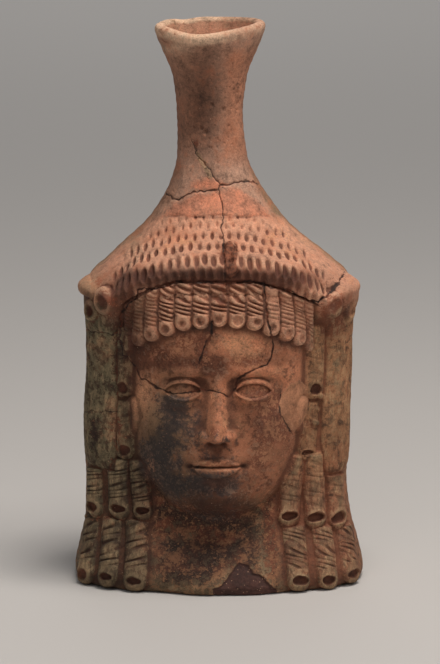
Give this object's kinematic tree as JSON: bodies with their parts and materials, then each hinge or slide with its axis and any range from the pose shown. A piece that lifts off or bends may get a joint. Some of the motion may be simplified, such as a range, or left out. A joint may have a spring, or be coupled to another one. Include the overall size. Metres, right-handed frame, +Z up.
{
  "type": "face jar",
  "caption": "Mould-made terracotta flask in the shape of a head with a tall pointed cap, corkscrew locks, a narrow neck and a pinched, flared mouth; holds and pours oil.",
  "frame": {"origin": "centre of the underside", "axes": "+Z up through the mouth, the face looks along -Y, +X to the viewer's right"},
  "size_m": [0.0952, 0.0712, 0.1839],
  "materials": {
    "terracotta": "matte unglazed fired clay with worn slip, soil stains and repaired cracks"
  },
  "bodies": {
    "root": {"face_jar": "terracotta"}
  },
  "joints": []
}
